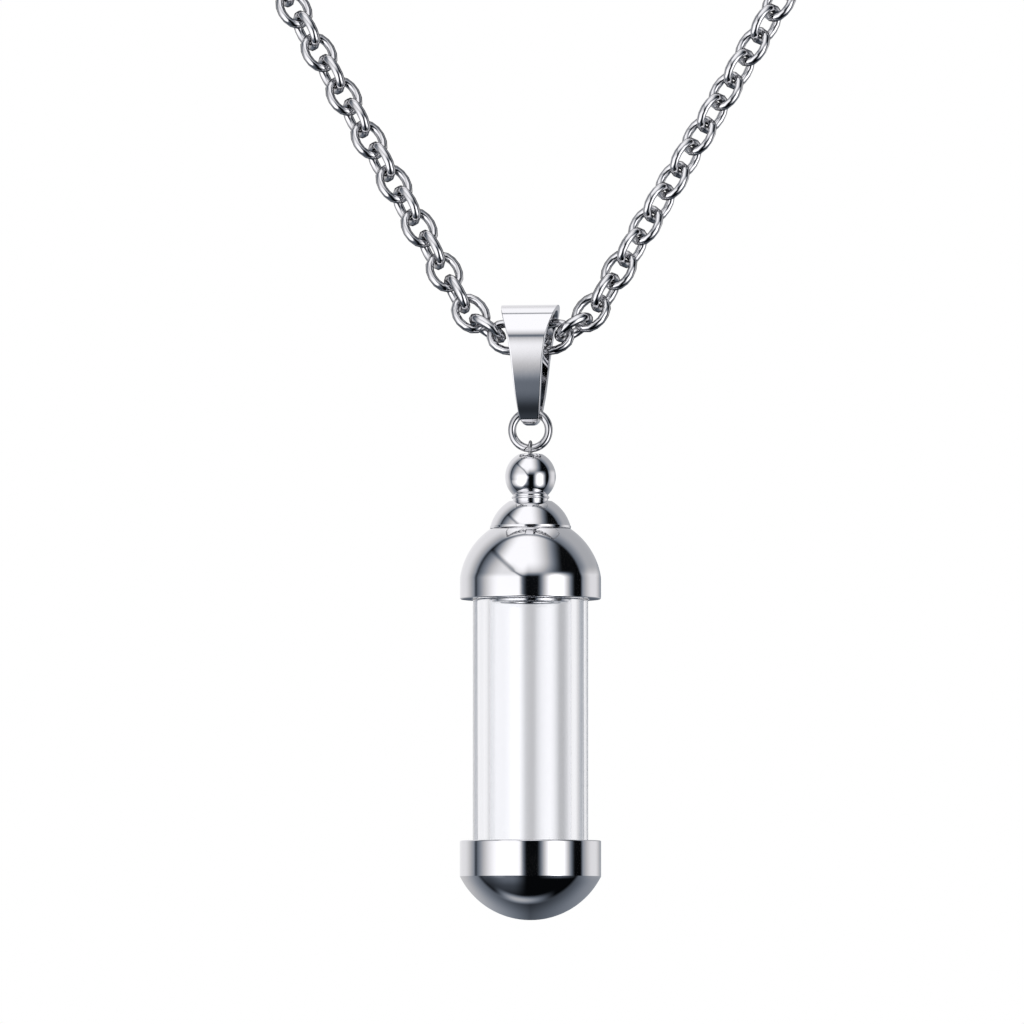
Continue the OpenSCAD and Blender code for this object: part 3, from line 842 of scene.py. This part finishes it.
# %% [markdown]
# The bail is a strip of steel folded over the chain. From the side it is a loop, wide round
# the top and tight round the jump ring. The loop could be drawn by hand as a curve, but then
# its bends would never quite meet. Here each half is three arcs, and the middle one is worked
# out so that it runs smoothly into the other two.

# %% Bail: the loop seen from the side
LIP_Z, LIP_R, ROLL_Z, ROLL_R, BOW_R, STRIP = 43.26, 1.195, 49.46, 2.9, 14.5, 0.5
LIP_STEPS, BOW_STEPS, ROLL_STEPS = 20, 40, 48


def bail_loop():
    """Points (y, z) and outward directions of the strip's middle line, round the whole loop.

    Each half is three arcs that run smoothly into one another: the lip, the bow and the roll.
    """
    low, high, bow, rise = LIP_R - STRIP / 2, ROLL_R - STRIP / 2, BOW_R - STRIP / 2, ROLL_Z - LIP_Z
    bow_z = (rise**2 + (high - low) * (2 * bow - low - high)) / (2 * rise)
    bow_y = math.sqrt((bow - low) ** 2 - bow_z**2)
    bow_from = -math.asin(bow_z / (bow - low))
    bow_to = math.asin((rise - bow_z) / (bow - high))
    loop = []
    for centre_y, centre_z, r, start, end, steps in (
        (0, 0, low, -math.pi / 2, bow_from, LIP_STEPS),
        (-bow_y, bow_z, bow, bow_from, bow_to, BOW_STEPS),
        (0, rise, high, bow_to, math.pi / 2, ROLL_STEPS),
    ):
        for t in np.linspace(start, end, steps, endpoint=False):
            ny, nz = math.cos(t), math.sin(t)
            loop.append((centre_y + r * ny, centre_z + r * nz, ny, nz))
    mirrored = [(-y, z, -ny, nz) for y, z, ny, nz in reversed(loop[1:])]
    return loop + [(0, rise + high, 0, 1)] + mirrored


stations = bail_loop()
print("the bail's loop has", len(stations), "stations")

# %% [markdown]
# From the front the bail flares from a narrow lower end to a wide top. A flat sheet could be
# bent with a Curve modifier, but its width has to follow its height. So a strip section with
# eased edges travels round the loop, and takes its width from a short chart of half widths.

# %% Bail: the strip
STRIP_EDGE, EDGE_STEPS, EDGE_GUARD, BAIL_CREASE = 0.07, 4, 0.04, 40
# Height over the middle of the lip, half width there
BAIL_HALF_WIDTHS = [
    (-1.2, 0.34), (-1.1, 0.53), (-0.9, 0.68), (-0.6, 0.81), (-0.3, 0.88), (0.0, 0.92), (1.36, 1.094),
    (2.6, 1.204), (4.46, 1.362), (6.2, 1.615), (7.13, 1.836), (8.12, 2.168), (9.3, 2.53),
]


def strip_section(half_width, thick, ease):
    """Points (x, out) round a flat section with eased edges."""
    made = []
    for sx, sn, start in ((1, 1, 0), (-1, 1, 90), (-1, -1, 180), (1, -1, 270)):
        corner_x, corner_n = sx * (half_width - ease), sn * (thick / 2 - ease)
        corner = []
        for k in range(EDGE_STEPS + 1):
            t = math.radians(start + 90 * k / EDGE_STEPS)
            corner.append((corner_x + ease * math.cos(t), corner_n + ease * math.sin(t)))
        before = (sx * half_width, sn * (thick / 2 - ease - EDGE_GUARD))
        after = (sx * (half_width - ease - EDGE_GUARD), sn * thick / 2)
        if start in (90, 270):
            before, after = after, before
        made += [before] + corner + [after]
    return made


heights, halves = zip(*BAIL_HALF_WIDTHS)
bail_points, bail_faces = [], []
section = strip_section(1.0, STRIP, STRIP_EDGE)
for y, z, ny, nz in stations:
    for x, out in section:
        point_y, point_z = y + ny * out, z + nz * out
        half = float(np.interp(point_z, heights, halves))
        point_x = x + (half - 1.0) * (1 if x > 0 else -1)
        bail_points.append(spot(point_x, point_y, LIP_Z + point_z))
for i in range(len(stations)):
    a, b = i * len(section), ((i + 1) % len(stations)) * len(section)
    for k in range(len(section)):
        n = (k + 1) % len(section)
        bail_faces.append((a + k, a + n, b + n, b + k))
finish_piece(
    "bail_strip", [(bail_points, bail_faces)],
    [buffed_steel], "bail", ["bail"], BAIL_CREASE,
)

# %% [markdown]
# The chain has over two hundred links of the same shape, each turned a quarter against the
# next. This is work for Geometry Nodes: one link is built from named sizes and set on a cloud
# of points. The place and turn of each link could be worked out from the chain's route again,
# but reading them from the CAD chain can't drift from it. Every link there is a loose solid:
# its middle gives the place, and its longest and shortest directions the turn.

# %% Find the links in the CAD chain
CAD_MERGE = 1e-6


def loose_parts(source):
    """The vertex positions of each loose part of a mesh, after merging a copy of it."""
    work = bmesh.new()
    work.from_mesh(source.data)
    bmesh.ops.remove_doubles(work, verts=work.verts, dist=CAD_MERGE)
    seen, found = set(), []
    for first in work.verts:
        if first in seen:
            continue
        stack, part = [first], []
        seen.add(first)
        while stack:
            v = stack.pop()
            part.append(v.co.copy())
            for e in v.link_edges:
                other = e.other_vert(v)
                if other not in seen:
                    seen.add(other)
                    stack.append(other)
        found.append(np.array(part))
    work.free()
    return found


def link_frame(points):
    """Middle, long direction and flat's direction of one link, from the corners of its box."""
    middle = points.mean(0)
    spread = np.linalg.svd(points - middle, full_matrices=False)[2]
    centre = middle
    for axis in spread:
        reach = (points - middle) @ axis
        centre = centre + axis * (reach.max() + reach.min()) / 2
    return centre, spread[0], spread[2]


links = [link_frame(p) for p in loose_parts(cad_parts["chain"])]
print("links found:", len(links))

# %% [markdown]
# The tree's sizes are named inputs, in metres, so the same tree could make another chain. They
# could be fixed inside the nodes, but nobody would find them there. A link is repeated over two
# hundred times, so its two counts of steps are low and smooth shading does the rest.

# %% Inputs of the chain's tree
LINK_SIZES = {
    "Link Length": 3.7,
    "Link Width": 3.04,
    "Wire Thickness": 0.66,
    "Wire Height": 0.78,
    "Wire Corner": 0.24,
}
LINK_STEPS = {"Steps Round Link": 16, "Steps Round Corner": 1}


def add_inputs(tree):
    """Gives the tree its named inputs and its output."""
    socket = tree.interface.new_socket
    socket("Geometry", in_out="INPUT", socket_type="NodeSocketGeometry")
    for name, value in LINK_SIZES.items():
        socket(name, in_out="INPUT", socket_type="NodeSocketFloat").default_value = value * MM
    for name, value in LINK_STEPS.items():
        socket(name, in_out="INPUT", socket_type="NodeSocketInt").default_value = value
    socket("Steel", in_out="INPUT", socket_type="NodeSocketMaterial")
    socket("Geometry", in_out="OUTPUT", socket_type="NodeSocketGeometry")


print("the tree's inputs:", ", ".join((*LINK_SIZES, *LINK_STEPS)))

# %% [markdown]
# The link itself is a circle of wire, pulled apart into a short oval. The wire was flattened
# when it was drawn, so its section is a rounded rectangle, higher across the link than it is
# thick. A round section would be simpler, but the flats give each link broad plain reflections
# with a fine dark line beside them.

# %% One link
STRAIGHT_FROM = 0.8


def link_wire(g, given):
    """The mesh of one link: a section swept round a circle whose halves are pulled apart.

    Beyond STRAIGHT_FROM of its radius, each half of the circle moves as a whole.
    """
    ring = g.node("GeometryNodeCurvePrimitiveCircle")
    g.feed(ring.inputs["Resolution"], given["Steps Round Link"])
    middle_r = g.times(g.less(given["Link Width"], given["Wire Thickness"]), 0.5)
    g.feed(ring.inputs["Radius"], middle_r)
    where = g.node("ShaderNodeSeparateXYZ")
    g.feed(where.inputs[0], g.node("GeometryNodeInputPosition").outputs[0])
    apart = g.times(g.less(given["Link Length"], given["Link Width"]), 0.5)
    side = g.maths("DIVIDE", where.outputs[0], g.times(middle_r, STRAIGHT_FROM))
    side = g.maths("MAXIMUM", g.maths("MINIMUM", side, 1.0), -1.0)
    shift = g.node("ShaderNodeCombineXYZ")
    g.feed(shift.inputs[0], g.times(side, apart))
    oval = g.node("GeometryNodeSetPosition")
    g.feed(oval.inputs["Geometry"], ring.outputs["Curve"])
    g.feed(oval.inputs["Offset"], shift.outputs[0])

    # Section of the wire, an upright rectangle with well rounded corners
    upright = g.node("GeometryNodeCurvePrimitiveQuadrilateral")
    g.feed(upright.inputs["Width"], given["Wire Thickness"])
    g.feed(upright.inputs["Height"], given["Wire Height"])
    rounded = g.node("GeometryNodeFilletCurve", mode="POLY")
    g.feed(rounded.inputs["Curve"], upright.outputs["Curve"])
    g.feed(rounded.inputs["Count"], given["Steps Round Corner"])
    g.feed(rounded.inputs["Radius"], given["Wire Corner"])
    wire = g.node("GeometryNodeCurveToMesh")
    g.feed(wire.inputs["Curve"], oval.outputs["Geometry"])
    g.feed(wire.inputs["Profile Curve"], rounded.outputs["Curve"])
    return wire.outputs["Mesh"]


print("a link is", LINK_SIZES["Link Length"], "by", LINK_SIZES["Link Width"], "mm")

# %% [markdown]
# The rest of the tree sets that link on every point of a cloud. A loop of Python could copy it
# as well, but as an instance it is built once and only placed again. The end of the tree makes
# the instances real, because an export would drop them, and gives them their steel.

# %% A link on every point


def chain_tree():
    """Sets one link on every point, turned as the point's two stored directions say."""
    tree = bpy.data.node_groups.new("cable_chain", "GeometryNodeTree")
    add_inputs(tree)
    g = NodeKit(tree)
    given = g.node("NodeGroupInput").outputs
    stored = {}
    for name in ("long_way", "flat_way"):
        read = g.node("GeometryNodeInputNamedAttribute", data_type="FLOAT_VECTOR")
        read.inputs["Name"].default_value = name
        stored[name] = read.outputs["Attribute"]
    turn = g.node("FunctionNodeAxesToRotation", primary_axis="Z", secondary_axis="X")
    g.feed(turn.inputs["Primary Axis"], stored["flat_way"])
    g.feed(turn.inputs["Secondary Axis"], stored["long_way"])
    cloud = g.node("GeometryNodeMeshToPoints")
    g.feed(cloud.inputs["Mesh"], given["Geometry"])
    place = g.node("GeometryNodeInstanceOnPoints")
    g.feed(place.inputs["Points"], cloud.outputs["Points"])
    g.feed(place.inputs["Instance"], link_wire(g, given))
    g.feed(place.inputs["Rotation"], turn.outputs["Rotation"])
    real = g.node("GeometryNodeRealizeInstances")
    g.feed(real.inputs["Geometry"], place.outputs["Instances"])
    dressed = g.node("GeometryNodeSetMaterial")
    g.feed(dressed.inputs["Geometry"], real.outputs["Geometry"])
    g.feed(dressed.inputs["Material"], given["Steel"])
    g.feed(g.node("NodeGroupOutput").inputs[0], dressed.outputs["Geometry"])
    return tree


cable_chain = chain_tree()
print("chain tree has", len(cable_chain.nodes), "nodes")

# %% [markdown]
# The tree now gets its cloud: a mesh with one vertex for each link and its two directions as
# attributes. The modifier could stay on the object, but the export bakes plain meshes, so
# the evaluated result is turned into one and the maker is removed.

# %% Set the links on their points
point_mesh = bpy.data.meshes.new("chain_points")
point_mesh.from_pydata([tuple(centre) for centre, _, _ in links], [], [])
for attribute, column in (("long_way", 1), ("flat_way", 2)):
    written = point_mesh.attributes.new(attribute, "FLOAT_VECTOR", "POINT")
    written.data.foreach_set("vector", np.array([link[column] for link in links], np.float32).ravel())
chain_maker = bpy.data.objects.new("chain_maker", point_mesh)
bpy.context.scene.collection.objects.link(chain_maker)
maker = chain_maker.modifiers.new("cable_chain", "NODES")
maker.node_group = cable_chain
inputs = {s.name: s.identifier for s in cable_chain.interface.items_tree if s.in_out == "INPUT"}
maker[inputs["Steel"]] = chain_steel

evaluated = chain_maker.evaluated_get(bpy.context.evaluated_depsgraph_get())
chain_mesh = bpy.data.meshes.new_from_object(evaluated)
chain_mesh.name = "chain_links"
bpy.data.objects.remove(chain_maker)
chain_mesh.shade_smooth()
chain_object = bpy.data.objects.new("chain_links", chain_mesh)
bpy.context.scene.collection.objects.link(chain_object)
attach(chain_object, "necklace")
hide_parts("chain")
print("chain:", len(chain_mesh.polygons), "faces in", len(links), "links")

# %% [markdown]
# The clasp lies at the nape, out of sight in the photograph, so it is kept plain. It could be
# drawn afresh, but the CAD piece has its shape already: it is copied, its loose triangles are
# merged and its edges are eased with a bevel.

# %% Clasp
CLASP_EASE, CLASP_EASE_STEPS = 0.12, 3

clasp_build = bmesh.new()
clasp_build.from_mesh(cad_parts["clasp"].data)
bmesh.ops.remove_doubles(clasp_build, verts=clasp_build.verts, dist=CAD_MERGE)
bmesh.ops.dissolve_limit(
    clasp_build, angle_limit=math.radians(1), verts=clasp_build.verts, edges=clasp_build.edges,
)
clasp_mesh = bpy.data.meshes.new("clasp_plain")
clasp_build.to_mesh(clasp_mesh)
clasp_build.free()
clasp_mesh.materials.clear()
clasp_mesh.materials.append(chain_steel)
clasp_mesh.shade_smooth()
clasp_object = bpy.data.objects.new("clasp_plain", clasp_mesh)
bpy.context.scene.collection.objects.link(clasp_object)
clasp_edges = clasp_object.modifiers.new("eased_edges", "BEVEL")
clasp_edges.width = CLASP_EASE * MM
clasp_edges.segments = CLASP_EASE_STEPS
clasp_edges.limit_method = "ANGLE"
clasp_edges.harden_normals = True
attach(clasp_object, "necklace")
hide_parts("clasp")
print("clasp:", len(clasp_mesh.polygons), "faces")

# %% Check the size and finish
low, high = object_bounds()
grown = [round((a - b) / MM, 3) for a, b in zip((*low, *high), (*cad_low, *cad_high))]
print("visual box minus CAD box in mm:", grown)
